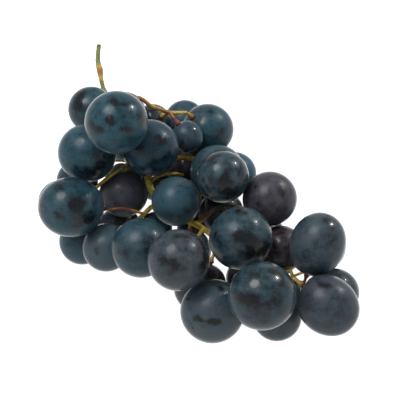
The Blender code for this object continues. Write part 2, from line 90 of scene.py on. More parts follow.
# %% Measure centre, half width, half length and axis of every berry
POLE_SPOKES = 13
FLAT_HEIGHT = 0.1 * MM
DIMPLE_EDGE = 0.8
NEARLY_UPRIGHT = 0.9


def across(axis):
    """Two directions square to an axis and to each other, from two cross products."""
    start = np.array((0.0, 0.0, 1.0)) if abs(axis[2]) < NEARLY_UPRIGHT else np.array((1.0, 0.0, 0.0))
    one = np.cross(start, axis)
    one /= np.linalg.norm(one)
    return one, np.cross(axis, one)


def fit_ball(points):
    """Centre of the ball through the points: |p| squared is 2 p . c plus a constant."""
    sums = np.column_stack((2.0 * points, np.ones(len(points))))
    return np.linalg.lstsq(sums, (points**2).sum(axis=1), rcond=None)[0][:3]


def fit_egg(points, axis):
    """Centre, half width and half length of the egg through the points. With u and v across the axis, s
    along it and k the squared width over the squared length, u2 + v2 + k s2 = 2 u cu + 2 v cv + 2 k s cs
    + a constant, which is a straight sum in cu, cv, k, k cs and the constant."""
    one, two = across(axis)
    u, v, s = points @ one, points @ two, points @ axis
    sums = np.column_stack((2.0 * u, 2.0 * v, -(s**2), 2.0 * s, np.ones(len(points))))
    cu, cv, k, kcs, constant = np.linalg.lstsq(sums, u**2 + v**2, rcond=None)[0]
    cs = kcs / k
    width = math.sqrt(constant + cu**2 + cv**2 + k * cs**2)
    return cu * one + cv * two + cs * axis, width, width / math.sqrt(k)


def measure_berry(node):
    """The poles are the corners with many spokes, and the pole nearest the ball's centre is the one in
    the dimple. The egg is fitted to the skin alone, without the dimple and the flat."""
    corners, _, spokes = read_solid(node)
    poles = corners[spokes >= POLE_SPOKES]
    skin = corners[(spokes < POLE_SPOKES) & (corners[:, 2] > FLAT_HEIGHT)]
    centre = fit_ball(skin)
    pole = poles[np.linalg.norm(poles - centre, axis=1).argmin()]
    axis = (pole - centre) / np.linalg.norm(pole - centre)
    reach = (skin - centre) @ axis
    centre, width, length = fit_egg(skin[reach < DIMPLE_EDGE * reach.max()], axis)
    rests = corners[:, 2].min() < FLAT_HEIGHT
    return {"centre": centre, "width": width, "length": length, "axis": axis, "rests": rests}


grape_nodes = {name: node for name, node in sorted(frame["nodes"].items()) if name != "stalks"}
berries = {name.removeprefix("grape_"): measure_berry(node) for name, node in grape_nodes.items()}
sizes = np.array([berry["width"] for berry in berries.values()]) * 2.0 / MM
resting = [name for name, berry in berries.items() if berry["rests"]]
print(len(berries), "berries,", sizes.min().round(1), "to", sizes.max().round(1), "mm; resting:", resting)

# %% [markdown]
# ## The camera
# The bunch is seen from above its front at 40 degrees, from half a metre, with a long lens. A camera can be
# aimed with a constraint, but a place and an angle worked out from the berry in the middle of the picture
# are plainer, and stay right if the solids move a little when they are built again.

# %% Place the camera
SHOW_ANGLE = math.radians(40.0)
CAMERA_DISTANCE = 0.5
LENS = 107.1
CLIP_START = 0.05
CLIP_END = 50.0
AIM_FROM_MIDDLE_BERRY = np.array((10.0, 1.9, -0.95)) * MM
RIGHT = np.array((1.0, 0.0, 0.0))
UP = np.array((0.0, math.sin(SHOW_ANGLE), math.cos(SHOW_ANGLE)))
NEAR = np.array((0.0, -math.cos(SHOW_ANGLE), math.sin(SHOW_ANGLE)))
aim = berries["19"]["centre"] + AIM_FROM_MIDDLE_BERRY
eye = aim + CAMERA_DISTANCE * NEAR

camera_data = bpy.data.cameras.new("camera")
camera_data.lens = LENS
camera_data.clip_start = CLIP_START
camera_data.clip_end = CLIP_END
camera = bpy.data.objects.new("camera", camera_data)
camera.location = eye
camera.rotation_euler = (math.pi / 2.0 - SHOW_ANGLE, 0.0, 0.0)
bpy.context.scene.collection.objects.link(camera)
bpy.context.scene.camera = camera
bpy.context.scene.view_settings.view_transform = "Standard"
print("camera at", (eye / MM).round(1), "mm, aimed at", (aim / MM).round(1))

# %% [markdown]
# ## Helpers for meshes
# The berries and the collars of their stalks are grids: one parameter runs down the grid and the other goes
# round it. Such a grid needs the same faces each time, with a fan of triangles at each end, so one helper
# lists them and another puts points and faces into a mesh. An attribute is a number stored at every point,
# which a material can read later.


# %% Grid faces and mesh making
def ball_faces(rows, sides):
    """Faces of a closed grid: point 0 is the first pole, then rows of points, then the last pole. Each
    row's quads join it to the next, and the poles are closed with triangles."""
    side = np.arange(sides)
    after = (side + 1) % sides
    first = 1 + sides * np.arange(rows - 1)[:, None]
    quads = np.stack((first + side, first + sides + side, first + sides + after, first + after), axis=-1)
    last = 1 + sides * (rows - 1)
    top = np.column_stack((np.zeros(sides, int), 1 + side, 1 + after))
    bottom = np.column_stack((np.full(sides, last + sides), last + after, last + side))
    return quads.reshape(-1, 4).tolist() + top.tolist() + bottom.tolist()


def make_piece(name, points, faces, attributes):
    """A smooth-shaded mesh object at the origin, whose attributes hold one number a point."""
    mesh = bpy.data.meshes.new(name)
    mesh.from_pydata(points.tolist(), [], faces)
    mesh.shade_smooth()
    store(mesh, attributes)
    piece = bpy.data.objects.new(name, mesh)
    bpy.context.scene.collection.objects.link(piece)
    return piece


def store(mesh, attributes):
    """Puts each named row of numbers into the mesh, one number a point."""
    for name, values in attributes.items():
        attribute = mesh.attributes.new(name, "FLOAT", "POINT")
        attribute.data.foreach_set("value", np.asarray(values, np.float32))


# %% [markdown]
# ## The shape of a berry
# A grape is never a true ball. It has a dimple with a low shoulder round it where the stalk enters, a
# slightly flattened far end with a tiny nib, the scar of the flower's style, and it bulges a little
# unevenly. Sculpting every one would take hours, and one copied mesh would look copied. A radius that
# depends on the two angles gives them all from one formula, with a few random numbers each. The bulges
# stay well under the gap between neighbours.

# %% Berry surface
SKIN_ROWS = 48
SKIN_SIDES = 64
DIMPLE = (0.065, 0.0, 0.33)
SHOULDER = (-0.008, 0.66, 0.24)
FLATTENED_END = (0.012, math.pi, 0.42)
NIB = (-0.01, math.pi, 0.05)
BULGE = 0.006
BULGE_COUNTS = (2, 3)
FLAT_SOFTNESS = 0.12 * MM
SKIN_FACES = ball_faces(SKIN_ROWS, SKIN_SIDES)


def berry_directions():
    """Unit directions on the grid: the angle from the stalk goes from pole to pole in even steps, and
    each row goes once round. Returns the directions and both angles."""
    down = np.pi * (np.arange(SKIN_ROWS) + 1.0) / (SKIN_ROWS + 1.0)
    turn = 2.0 * np.pi * np.arange(SKIN_SIDES) / SKIN_SIDES
    down, turn = (grid.ravel() for grid in np.meshgrid(down, turn, indexing="ij"))
    down = np.concatenate(((0.0,), down, (np.pi,)))
    turn = np.concatenate(((0.0,), turn, (0.0,)))
    ways = np.column_stack((np.sin(down) * np.cos(turn), np.sin(down) * np.sin(turn), np.cos(down)))
    return ways, down, turn


def berry_points(berry, random):
    """An egg with the berry's half width and half length, scaled at each angle by one, less a bell
    curve for the dimple and the flattened end, plus one for the shoulder and the nib, plus two slow
    waves round it for the bulges. On a berry that rests, a soft floor keeps every height at zero or
    more. Returns the points, the direction of each from the centre, and its angle from the stalk."""
    ways, down, turn = berry_directions()
    share = np.ones(len(down))
    for depth, middle, spread in (DIMPLE, SHOULDER, FLATTENED_END, NIB):
        share -= depth * np.exp(-(((down - middle) / spread) ** 2))
    for count in BULGE_COUNTS:
        start = random.uniform(0.0, 2.0 * np.pi)
        share += BULGE / count * np.sin(count * turn + start) * np.sin(down) ** 2
    axes = np.array((*across(berry["axis"]), berry["axis"]))
    sizes = np.array((berry["width"], berry["width"], berry["length"]))
    points = berry["centre"] + (ways * sizes * share[:, None]) @ axes
    if berry["rests"]:
        height = points[:, 2]
        points[:, 2] = 0.5 * (height + np.sqrt(height**2 + FLAT_SOFTNESS**2))
    return points, ways @ axes, down


# %% [markdown]
# ## Where the bloom is thin
# The bloom is a dust of wax that fingers and leaves rub off, so every berry in the bunch is marked in its
# own way. Wax over the whole of a berry is one number, and so is how far its colour goes from blue to wine
# red. Berries at the back, which the camera doesn't see, share the numbers of their skin, give or take a
# little.

# %% Wax and colour of each berry
FINISH = {
    "01": (0.50, 0.05), "02": (0.56, 0.05), "03": (0.45, 0.20), "04": (0.35, 0.30), "05": (0.60, 0.20),
    "06": (0.66, 0.20), "07": (0.82, 0.36), "08": (0.42, 0.08), "09": (0.62, 0.10), "10": (0.58, 0.15),
    "11": (0.55, 0.20), "12": (0.50, 0.20), "13": (1.15, 0.66), "14": (0.95, 0.80), "15": (0.76, 0.30),
    "16": (0.92, 0.60), "17": (0.58, 0.25), "18": (0.58, 0.80), "19": (1.00, 0.28), "20": (0.42, 0.40),
    "21": (0.60, 0.35), "22": (0.90, 0.10), "23": (0.62, 0.80), "24": (0.56, 0.38), "25": (0.35, 0.90),
    "26": (0.62, 0.60), "27": (0.42, 0.35), "28": (0.66, 0.28), "29": (0.45, 0.45), "30": (0.82, 0.68),
    "31": (0.85, 0.80), "32": (0.35, 0.90), "33": (0.45, 0.90), "34": (0.50, 0.90), "35": (0.45, 0.80),
}
HIDDEN_FINISH = {"skin_bloomed": (0.62, 0.2), "skin_dark": (0.5, 0.3), "skin_purple": (0.5, 0.85)}
WAX_SPREAD = 0.08
WINE_SPREAD = 0.1
print(len(FINISH), "berries with a finish of their own")

# %% [markdown]
# ## Marks of single berries
# Noise alone would give every berry the same kind of cloud, and painting by hand would need a texture for
# each. Here a mark is a short stroke across the berry: rubbed bare, thick with wax, or scarred; a few
# rubbed strokes are painted shade instead. A mark is given by its two ends as the camera sees them, to the
# right and up in shares of the radius, then its width and how strong it is.

# %% List the marks
# Strokes of the rubbed kind also paint shade: the shadow of berry 02 on berry 09, and shade on the lower
# right of berry 10.
RUBBED_AND_SHADED, WAXY, SCARRED = "rubbed", "waxy", "scarred"
MARKS = {
    "01": ((RUBBED_AND_SHADED, -0.68, 0.15, -0.40, 0.66, 0.22, 0.6), (RUBBED_AND_SHADED, -0.52, 0.08, -0.50, 0.14, 0.18, 0.5)),
    "02": (
        (RUBBED_AND_SHADED, -0.12, 0.68, 0.04, 0.58, 0.13, 0.5),
        (RUBBED_AND_SHADED, 0.24, 0.54, 0.54, 0.62, 0.12, 0.45),
        (RUBBED_AND_SHADED, 0.70, 0.20, 0.88, 0.05, 0.16, 0.6),
        (RUBBED_AND_SHADED, -0.82, -0.02, -0.50, -0.23, 0.12, 0.6),
        (RUBBED_AND_SHADED, 0.15, -0.20, 0.45, -0.23, 0.10, 0.45),
        (SCARRED, -0.20, 0.10, -0.16, 0.00, 0.11, 0.8),
    ),
    "06": ((RUBBED_AND_SHADED, 0.08, 0.68, 0.22, 0.66, 0.12, 0.4), (RUBBED_AND_SHADED, 0.58, 0.0, 0.50, -0.25, 0.18, 0.5)),
    "07": (
        (RUBBED_AND_SHADED, 0.12, 0.60, 0.05, -0.30, 0.08, 0.6),
        (RUBBED_AND_SHADED, 0.45, 0.45, 0.48, -0.25, 0.09, 0.6),
        (RUBBED_AND_SHADED, -0.35, 0.10, -0.28, -0.55, 0.12, 0.5),
    ),
    "08": ((WAXY, -0.40, -0.44, -0.22, -0.44, 0.14, 0.5), (WAXY, 0.1, 0.75, 0.6, 0.45, 0.2, 0.35)),
    # Berry 09: the first stroke is painted shadow, cast by berry 02 on its right side; the second darkens
    # its bottom.
    "09": ((RUBBED_AND_SHADED, 0.60, 0.15, 0.50, -0.35, 0.30, 0.5), (RUBBED_AND_SHADED, -0.25, -0.62, 0.3, -0.7, 0.2, 0.4)),
    "10": (
        (RUBBED_AND_SHADED, 0.14, 0.10, 0.20, 0.02, 0.20, 0.8),
        (RUBBED_AND_SHADED, -0.38, -0.24, -0.30, -0.32, 0.13, 0.5),
        (RUBBED_AND_SHADED, -0.42, 0.72, -0.28, 0.66, 0.13, 0.5),
        # This stroke is painted shade on the lower right of berry 10.
        (RUBBED_AND_SHADED, 0.35, -0.45, 0.60, -0.40, 0.30, 0.45),
        (RUBBED_AND_SHADED, 0.24, 0.08, 0.42, 0.16, 0.12, 0.5),
    ),
    "12": (
        (RUBBED_AND_SHADED, -0.19, 0.92, 0.0, 0.93, 0.09, 0.5),
        (RUBBED_AND_SHADED, 0.20, 0.42, 0.26, 0.22, 0.09, 0.4),
        (SCARRED, -0.42, -0.12, -0.36, -0.26, 0.10, 0.6),
        (RUBBED_AND_SHADED, -0.30, -0.05, -0.18, -0.02, 0.10, 0.5),
        (RUBBED_AND_SHADED, 0.45, 0.55, 0.75, 0.10, 0.07, 0.5),
    ),
    "13": (
        (RUBBED_AND_SHADED, -0.35, 0.35, -0.05, 0.05, 0.10, 0.6),
        (RUBBED_AND_SHADED, 0.25, 0.45, 0.45, 0.10, 0.10, 0.6),
        (RUBBED_AND_SHADED, -0.45, -0.20, -0.10, -0.45, 0.13, 0.35),
        (RUBBED_AND_SHADED, 0.10, -0.15, 0.35, -0.40, 0.10, 0.35),
    ),
    "16": ((RUBBED_AND_SHADED, -0.42, -0.02, -0.38, -0.22, 0.14, 0.6),),
    "17": ((RUBBED_AND_SHADED, -0.52, -0.16, -0.48, -0.26, 0.13, 0.5), (RUBBED_AND_SHADED, 0.10, 0.15, 0.40, 0.0, 0.25, 0.35)),
    "18": (
        (SCARRED, -0.17, -0.04, -0.13, -0.30, 0.11, 0.7),
        (RUBBED_AND_SHADED, -0.52, 0.02, -0.44, -0.06, 0.13, 0.5),
        (SCARRED, -0.32, -0.46, -0.20, -0.46, 0.09, 0.45),
        (RUBBED_AND_SHADED, 0.00, 0.80, 0.26, 0.76, 0.12, 0.7),
        (RUBBED_AND_SHADED, 0.72, 0.55, 0.82, -0.15, 0.20, 0.8),
    ),
    "19": (
        (RUBBED_AND_SHADED, 0.32, -0.30, 0.46, -0.42, 0.16, 0.6),
        (RUBBED_AND_SHADED, 0.62, 0.25, 0.70, -0.15, 0.13, 0.5),
        (RUBBED_AND_SHADED, -0.30, -0.50, 0.05, -0.62, 0.13, 0.5),
        (RUBBED_AND_SHADED, -0.62, 0.30, -0.52, 0.00, 0.10, 0.4),
        (RUBBED_AND_SHADED, 0.12, 0.62, 0.38, 0.52, 0.09, 0.4),
    ),
    "20": (
        (RUBBED_AND_SHADED, -0.70, 0.60, -0.18, 0.80, 0.09, 0.6),
        (RUBBED_AND_SHADED, 0.12, 0.27, 0.02, -0.10, 0.12, 0.5),
        (RUBBED_AND_SHADED, 0.10, -0.30, 0.35, -0.60, 0.26, 0.5),
        (RUBBED_AND_SHADED, 0.68, 0.45, 0.60, 0.05, 0.06, 0.5),
        (RUBBED_AND_SHADED, -0.96, 0.05, -0.84, -0.45, 0.05, 0.6),
        (RUBBED_AND_SHADED, -0.84, -0.45, -0.40, -0.80, 0.05, 0.6),
        (RUBBED_AND_SHADED, -0.75, -0.10, -0.55, -0.45, 0.05, 0.4),
        (WAXY, -0.25, 0.10, 0.05, 0.30, 0.16, 0.3),
        (WAXY, 0.30, 0.60, 0.45, 0.20, 0.10, 0.3),
    ),
    "23": (
        (WAXY, -0.26, 0.26, -0.14, 0.38, 0.07, 0.5),
        (WAXY, -0.28, 0.36, -0.12, 0.24, 0.05, 0.5),
        (RUBBED_AND_SHADED, 0.35, 0.35, 0.55, -0.05, 0.11, 0.35),
        (RUBBED_AND_SHADED, -0.50, -0.10, -0.25, -0.45, 0.12, 0.35),
        (RUBBED_AND_SHADED, 0.05, -0.20, 0.30, -0.45, 0.09, 0.3),
    ),
    "24": (
        (RUBBED_AND_SHADED, -0.05, 0.05, 0.50, -0.25, 0.24, 0.7),
        (RUBBED_AND_SHADED, 0.35, -0.48, 0.78, -0.34, 0.26, 0.6),
        (RUBBED_AND_SHADED, -0.05, 0.84, 0.12, 0.80, 0.14, 0.7),
        (RUBBED_AND_SHADED, -0.81, 0.20, -0.78, 0.14, 0.08, 0.5),
        (WAXY, -0.18, 0.42, 0.02, 0.32, 0.18, 0.4),
    ),
    "25": ((SCARRED, 0.02, 0.66, 0.10, 0.64, 0.12, 0.6),),
    "26": ((RUBBED_AND_SHADED, 0.18, 0.74, 0.48, 0.50, 0.14, 0.5), (RUBBED_AND_SHADED, 0.45, 0.0, 0.60, -0.30, 0.28, 0.3)),
    "27": (
        (RUBBED_AND_SHADED, -0.75, 0.00, -0.27, -0.10, 0.13, 0.6),
        (RUBBED_AND_SHADED, 0.30, 0.76, 0.55, 0.45, 0.15, 0.6),
        (RUBBED_AND_SHADED, -0.86, 0.48, -0.68, 0.72, 0.06, 0.6),
        (WAXY, 0.06, 0.86, 0.24, 0.84, 0.13, 0.6),
        (RUBBED_AND_SHADED, -0.10, -0.35, 0.35, -0.20, 0.20, 0.3),
    ),
    "28": ((RUBBED_AND_SHADED, -0.12, 0.63, 0.06, 0.62, 0.12, 0.7),),
    "30": (
        (SCARRED, -0.54, -0.24, -0.36, -0.26, 0.09, 1.1),
        (SCARRED, -0.46, -0.14, -0.43, -0.16, 0.06, 0.8),
        (SCARRED, -0.02, -0.30, 0.20, -0.32, 0.10, 1.2),
        (SCARRED, 0.08, -0.40, 0.18, -0.38, 0.06, 0.8),
        (RUBBED_AND_SHADED, -0.34, -0.28, -0.06, -0.32, 0.07, 0.6),
        (RUBBED_AND_SHADED, 0.20, 0.74, 0.26, 0.68, 0.12, 0.5),
        (RUBBED_AND_SHADED, -0.76, 0.40, -0.72, 0.34, 0.08, 0.5),
    ),
}
print(sum(len(marks) for marks in MARKS.values()), "marks on", len(MARKS), "berries")

# %% [markdown]
# ## From strokes to numbers
# A mark has to become a number at every point of its berry. Its ends are seen points, so each is turned
# back into a direction from the berry's centre, and how strong the mark is anywhere follows from the
# distance to the line between the two. Two things are the same on all berries: the brown scar of the style
# at the far end, with a ring of thinner wax round it, and the thin, redder skin near the stalk.


# %% Finish of a berry
STYLE_SCAR = 0.07
STYLE_BROWN = 0.9
STYLE_HALO = 0.2
HALO_BARE = 0.3
SCAR_BARE = 0.5
STALK_END = 0.5
STALK_END_BARE = 0.15
STALK_END_WINE = 0.3
SHORTEST_LINE = 1e-9


def seen_direction(berry, right, up):
    """The direction from a berry's centre to the point of its skin that shows this far right and up of
    its middle, in radii: the share left for the depth is what makes the squares add up to one."""
    toward = eye - berry["centre"]
    toward /= np.linalg.norm(toward)
    sideways = RIGHT - (RIGHT @ toward) * toward
    sideways /= np.linalg.norm(sideways)
    depth = math.sqrt(max(0.0, 1.0 - right**2 - up**2))
    return right * sideways + up * np.cross(toward, sideways) + depth * toward


def stroke(ways, start, end, width):
    """How strongly each direction lies on a stroke: a bell curve of its distance from the straight
    line between the stroke's ends."""
    line = end - start
    along = np.clip((ways - start) @ line / max(line @ line, SHORTEST_LINE), 0.0, 1.0)
    distance = np.linalg.norm(ways - start - along[:, None] * line, axis=1)
    return np.exp(-((distance / width) ** 2))


def berry_finish(name, berry, ways, down, skin, random):
    """Wax, wine and scar at every point: the berry's own values, less the rubbed strokes, among them a few
    of painted shade, plus the waxy ones, with a small scar and a bare halo at the end away from the stalk."""
    wax, wine = FINISH.get(name, HIDDEN_FINISH[skin])
    if name not in FINISH:
        wax += random.uniform(-WAX_SPREAD, WAX_SPREAD)
        wine += random.uniform(-WINE_SPREAD, WINE_SPREAD)
    wax = np.full(len(ways), wax)
    far = np.pi - down
    scar = STYLE_BROWN * np.exp(-((far / STYLE_SCAR) ** 2))
    wax -= HALO_BARE * np.exp(-((far / STYLE_HALO) ** 2))
    for kind, right, up, to_right, to_up, width, amount in MARKS.get(name, ()):
        start = seen_direction(berry, right, up)
        covered = amount * stroke(ways, start, seen_direction(berry, to_right, to_up), width)
        if kind == SCARRED:
            scar = np.maximum(scar, covered)
            wax -= SCAR_BARE * covered
        else:
            # Rubbed strokes, painted shade among them, take wax away, which makes the skin darker and
            # glossier there.
            wax += covered if kind == WAXY else -covered
    near_stalk = np.exp(-((down / STALK_END) ** 2))
    wax -= STALK_END_BARE * near_stalk
    return {"wax": wax, "wine": wine + STALK_END_WINE * near_stalk, "scar": scar}


# %% [markdown]
# ## Helpers for materials
# A material is a tree of nodes. Adding each node by hand in code takes four or five lines, so a helper
# places one and fills its inputs, and short names for the commonest ones keep the recipes readable.


# %% Place nodes
def place(tree, kind, inputs=(), **options):
    """Adds a shader node, sets its options and fills its inputs: a socket is linked, and any other
    value is typed in."""
    made = tree.nodes.new("ShaderNode" + kind)
    for name, value in options.items():
        setattr(made, name, value)
    for name, value in dict(inputs).items():
        if isinstance(value, bpy.types.NodeSocket):
            tree.links.new(value, made.inputs[name])
        else:
            made.inputs[name].default_value = value
    return made


def maths(tree, operation, first, second=0.0, clamp=False):
    """What one Math node makes of two values."""
    return place(tree, "Math", {0: first, 1: second}, operation=operation, use_clamp=clamp).outputs[0]


def times(tree, value, share):
    """A share of a value."""
    return maths(tree, "MULTIPLY", value, share)


def plus(tree, first, second, clamp=False):
    """The sum of two values, kept between 0 and 1 where clamp is set."""
    return maths(tree, "ADD", first, second, clamp)


def blend(tree, amount, first, second):
    """A colour between two: their mix by an amount from 0 to 1. The Mix node keeps its colours at
    sockets 6 and 7 and their mix at output 2."""
    return place(tree, "Mix", {0: amount, 6: first, 7: second}, data_type="RGBA").outputs[2]


def soft_step(tree, value, low, high, to_low=0.0, to_high=1.0):
    """Goes from one level to another as the value passes from low to high, easing in and out."""
    inputs = {"Value": value, "From Min": low, "From Max": high, "To Min": to_low, "To Max": to_high}
    return place(tree, "MapRange", inputs, interpolation_type="SMOOTHSTEP").outputs[0]


def noise(tree, where, grain):
    """Cloudy noise centred on zero. The grain says how many clouds fit in a metre, how many finer
    layers they have, how strong those are, and how far they are pushed out of shape."""
    inputs = dict(zip(("Scale", "Detail", "Roughness", "Distortion"), grain))
    cloud = place(tree, "TexNoise", {"Vector": where, **inputs})
    return maths(tree, "SUBTRACT", cloud.outputs["Fac"], 0.5)


def screen(red, green, blue):
    """A colour as a screen shows it, 0 to 255, turned into the linear light that a shader needs: a
    power of 2.4 of the brightness, with a straight piece for the darkest values."""
    values = [channel / 255.0 for channel in (red, green, blue)]
    return (*[v / 12.92 if v <= 0.04045 else ((v + 0.055) / 1.055) ** 2.4 for v in values], 1.0)


def new_group(name, inputs, outputs):
    """A shader node group with these sockets, each given as its name and FLOAT or COLOR."""
    kinds = {"FLOAT": "NodeSocketFloat", "COLOR": "NodeSocketColor"}
    group = bpy.data.node_groups.new(name, "ShaderNodeTree")
    for socket, kind in inputs.items():
        group.interface.new_socket(socket, in_out="INPUT", socket_type=kinds[kind])
    for socket, kind in outputs.items():
        group.interface.new_socket(socket, in_out="OUTPUT", socket_type=kinds[kind])
    return group, group.nodes.new("NodeGroupInput").outputs, group.nodes.new("NodeGroupOutput").inputs


# %% [markdown]
# ## Waxy skin
# Grape skin is nearly black. What looks blue is the bloom on it, thick in some places and thin in others,
# and a wiped place is glossy where the dusty one is dull. All three skins here have it, so it is a node
# group, built once: big clouds, fine mottling and streaks decide where the wax is, and the wax decides
# colour, roughness and clear coat together, so that a bare place is darker and glossier at once. Streaks
# and clouds also shift the hue between blue and wine. Scars are laid over it all. The noise is read from
# the object's own coordinates, so that no two berries get the same piece of it.

# %% Build the waxy skin group
CLOUDS = (95.0, 3.0, 0.5, 0.7)
MOTTLES = (330.0, 5.0, 0.62, 0.4)
STREAKS = (150.0, 4.0, 0.6, 0.5)
SPECKS = (1500.0, 2.0, 0.55, 0.0)
STREAK_TURN = (0.4, 0.7, 0.3)
STREAK_STRETCH = (1.0, 0.3, 1.6)
WAX_CLOUDS, WAX_MOTTLES, WAX_STREAKS = 0.6, 1.3, 0.9
HUE_STREAKS, HUE_CLOUDS = 0.8, 0.9
COVER_STEP = (-0.05, 0.95)
COLOUR_SPECKS = 0.7
SCAR_MOTTLES = 1.6
SCAR_STEP = (0.3, 1.1)
BARE_ROUGHNESS = 0.24
WAX_ROUGHNESS = 0.4
SCAR_ROUGHNESS = 0.2
COAT_STEP = (0.2, 0.75)
BARE_COAT = 0.34
WAX_COAT = 0.05
RELIEF_COVER, RELIEF_SPECKS = 0.5, 0.5
SCAR_SPECKS, SCAR_DEPTH = 1.5, -0.3


def build_waxy_skin():
    """Cover is wax plus clouds, mottles and streaks, put through a soft step. Colour is a mix by cover
    of bare skin and bloom, each of them a mix of blue and wine, by the wine level plus streaks and
    clouds. Roughness goes up with cover, and coat goes down with it. A scar is brown, rough and a
    little sunken, and its edge is made ragged by the mottles."""
    colours = {"Bare": "COLOR", "Bare wine": "COLOR", "Bloom": "COLOR", "Bloom wine": "COLOR"}
    inputs = {"Wax": "FLOAT", "Wine": "FLOAT", "Scar": "FLOAT", **colours, "Scar brown": "COLOR"}
    outputs = {"Color": "COLOR", "Roughness": "FLOAT", "Coat": "FLOAT", "Height": "FLOAT"}
    tree, given, result = new_group("waxy_skin", inputs, outputs)
    where = place(tree, "TexCoord").outputs["Object"]
    turning = {"Vector": where, "Rotation": STREAK_TURN, "Scale": STREAK_STRETCH}
    clouds = noise(tree, where, CLOUDS)
    mottles = noise(tree, where, MOTTLES)
    streaks = noise(tree, place(tree, "Mapping", turning).outputs[0], STREAKS)
    specks = noise(tree, where, SPECKS)

    uneven = plus(tree, times(tree, clouds, WAX_CLOUDS), times(tree, mottles, WAX_MOTTLES))
    uneven = plus(tree, uneven, times(tree, streaks, WAX_STREAKS))
    cover = soft_step(tree, plus(tree, given["Wax"], uneven), *COVER_STEP)
    scarred = soft_step(tree, plus(tree, given["Scar"], times(tree, mottles, SCAR_MOTTLES)), *SCAR_STEP)

    shift = plus(tree, times(tree, streaks, HUE_STREAKS), times(tree, clouds, HUE_CLOUDS))
    hue = plus(tree, given["Wine"], shift, clamp=True)
    bare = blend(tree, hue, given["Bare"], given["Bare wine"])
    bloom = blend(tree, hue, given["Bloom"], given["Bloom wine"])
    speckled = plus(tree, cover, times(tree, specks, COLOUR_SPECKS), clamp=True)
    colour = blend(tree, scarred, blend(tree, speckled, bare, bloom), given["Scar brown"])
    tree.links.new(colour, result["Color"])

    dull = soft_step(tree, cover, 0.0, 1.0, BARE_ROUGHNESS, WAX_ROUGHNESS)
    dull = plus(tree, dull, times(tree, scarred, SCAR_ROUGHNESS))
    tree.links.new(dull, result["Roughness"])
    tree.links.new(soft_step(tree, cover, *COAT_STEP, BARE_COAT, WAX_COAT), result["Coat"])

    relief = plus(tree, times(tree, cover, RELIEF_COVER), times(tree, specks, RELIEF_SPECKS))
    cracks = plus(tree, times(tree, specks, SCAR_SPECKS), SCAR_DEPTH)
    relief = plus(tree, relief, maths(tree, "MULTIPLY", scarred, cracks))
    tree.links.new(relief, result["Height"])
    return tree


waxy_skin = build_waxy_skin()
print("waxy skin group:", len(waxy_skin.nodes), "nodes")

# %% [markdown]
# ## The three skins
# Most berries are dusty blue, some have lost most of their bloom and are nearly black, and some ripened to
# a purple brown. Each skin is its own material round the same group, with its own colours. The coat that
# the group gives is what shows the crisp dots of light on bare places. Any skin mirrors its surroundings
# where it is seen edge on, and the Layer Weight node finds those places: there the coat rises almost to
# full, which draws the thin pale rim of every berry. A faint sheen stands for the fine wax.

# %% Make the skins
SKIN_COLOURS = {
    "skin_bloomed": ((15, 20, 24), (27, 22, 23), (37, 77, 90), (72, 76, 80), (26, 24, 18)),
    "skin_dark": ((14, 19, 24), (25, 21, 23), (37, 72, 86), (66, 65, 71), (26, 23, 20)),
    "skin_purple": ((22, 21, 26), (34, 26, 29), (55, 70, 80), (75, 70, 77), (38, 26, 24)),
}
SKIN_SHEEN = {"skin_bloomed": 0.07, "skin_dark": 0.04, "skin_purple": 0.06}
SHEEN_ROUGHNESS = 0.14
SHEEN_TINT = (190, 215, 230)
COAT_ROUGHNESS = 0.08
COAT_IOR = 1.35
FACING_BLEND = 0.5
EDGE_ON = (0.55, 0.85)
EDGE_COAT = 0.9
SKIN_GLOSS = 0.24
SKIN_RELIEF = 0.06 * MM
COLOUR_SOCKETS = ("Bare", "Bare wine", "Bloom", "Bloom wine", "Scar brown")


def make_skin(name):
    """Colour, roughness and relief come from the group. The clear coat is the group's own or the one
    for places seen edge on, whichever is more."""
    material = bpy.data.materials.new(name)
    material.use_nodes = True
    tree = material.node_tree
    shader = tree.nodes["Principled BSDF"]
    skin = place(tree, "Group", node_tree=waxy_skin)
    for socket, attribute in (("Wax", "wax"), ("Wine", "wine"), ("Scar", "scar")):
        read = place(tree, "Attribute", attribute_name=attribute)
        tree.links.new(read.outputs["Fac"], skin.inputs[socket])
    for socket, colour in zip(COLOUR_SOCKETS, SKIN_COLOURS[name]):
        skin.inputs[socket].default_value = screen(*colour)
    bump = place(tree, "Bump", {"Height": skin.outputs["Height"], "Distance": SKIN_RELIEF})
    tree.links.new(skin.outputs["Color"], shader.inputs["Base Color"])
    tree.links.new(skin.outputs["Roughness"], shader.inputs["Roughness"])
    facing = place(tree, "LayerWeight", {"Blend": FACING_BLEND}).outputs["Facing"]
    edge = soft_step(tree, facing, *EDGE_ON, 0.0, EDGE_COAT)
    tree.links.new(maths(tree, "MAXIMUM", skin.outputs["Coat"], edge), shader.inputs["Coat Weight"])
    tree.links.new(bump.outputs["Normal"], shader.inputs["Normal"])
    shader.inputs["Specular IOR Level"].default_value = SKIN_GLOSS
    shader.inputs["Sheen Weight"].default_value = SKIN_SHEEN[name]
    shader.inputs["Sheen Roughness"].default_value = SHEEN_ROUGHNESS
    shader.inputs["Sheen Tint"].default_value = screen(*SHEEN_TINT)
    shader.inputs["Coat Roughness"].default_value = COAT_ROUGHNESS
    shader.inputs["Coat IOR"].default_value = COAT_IOR
    return material


skins = {name: make_skin(name) for name in SKIN_COLOURS}
print("skins:", ", ".join(skins))

# %% [markdown]
# ## All the berries
# With a shape, a finish and three skins to hand, one loop makes every berry. The slot of its solid in the
# record says which skin it wears. A seeded random generator is made for each berry from its number, so the
# bunch comes out the same each time and a change to one berry leaves the others alone.

# %% Make the berries
SLOTS = {part["node"]: part["material_slot"] for part in frame["record"]["subparts"]}
BERRY_SEED = 1100


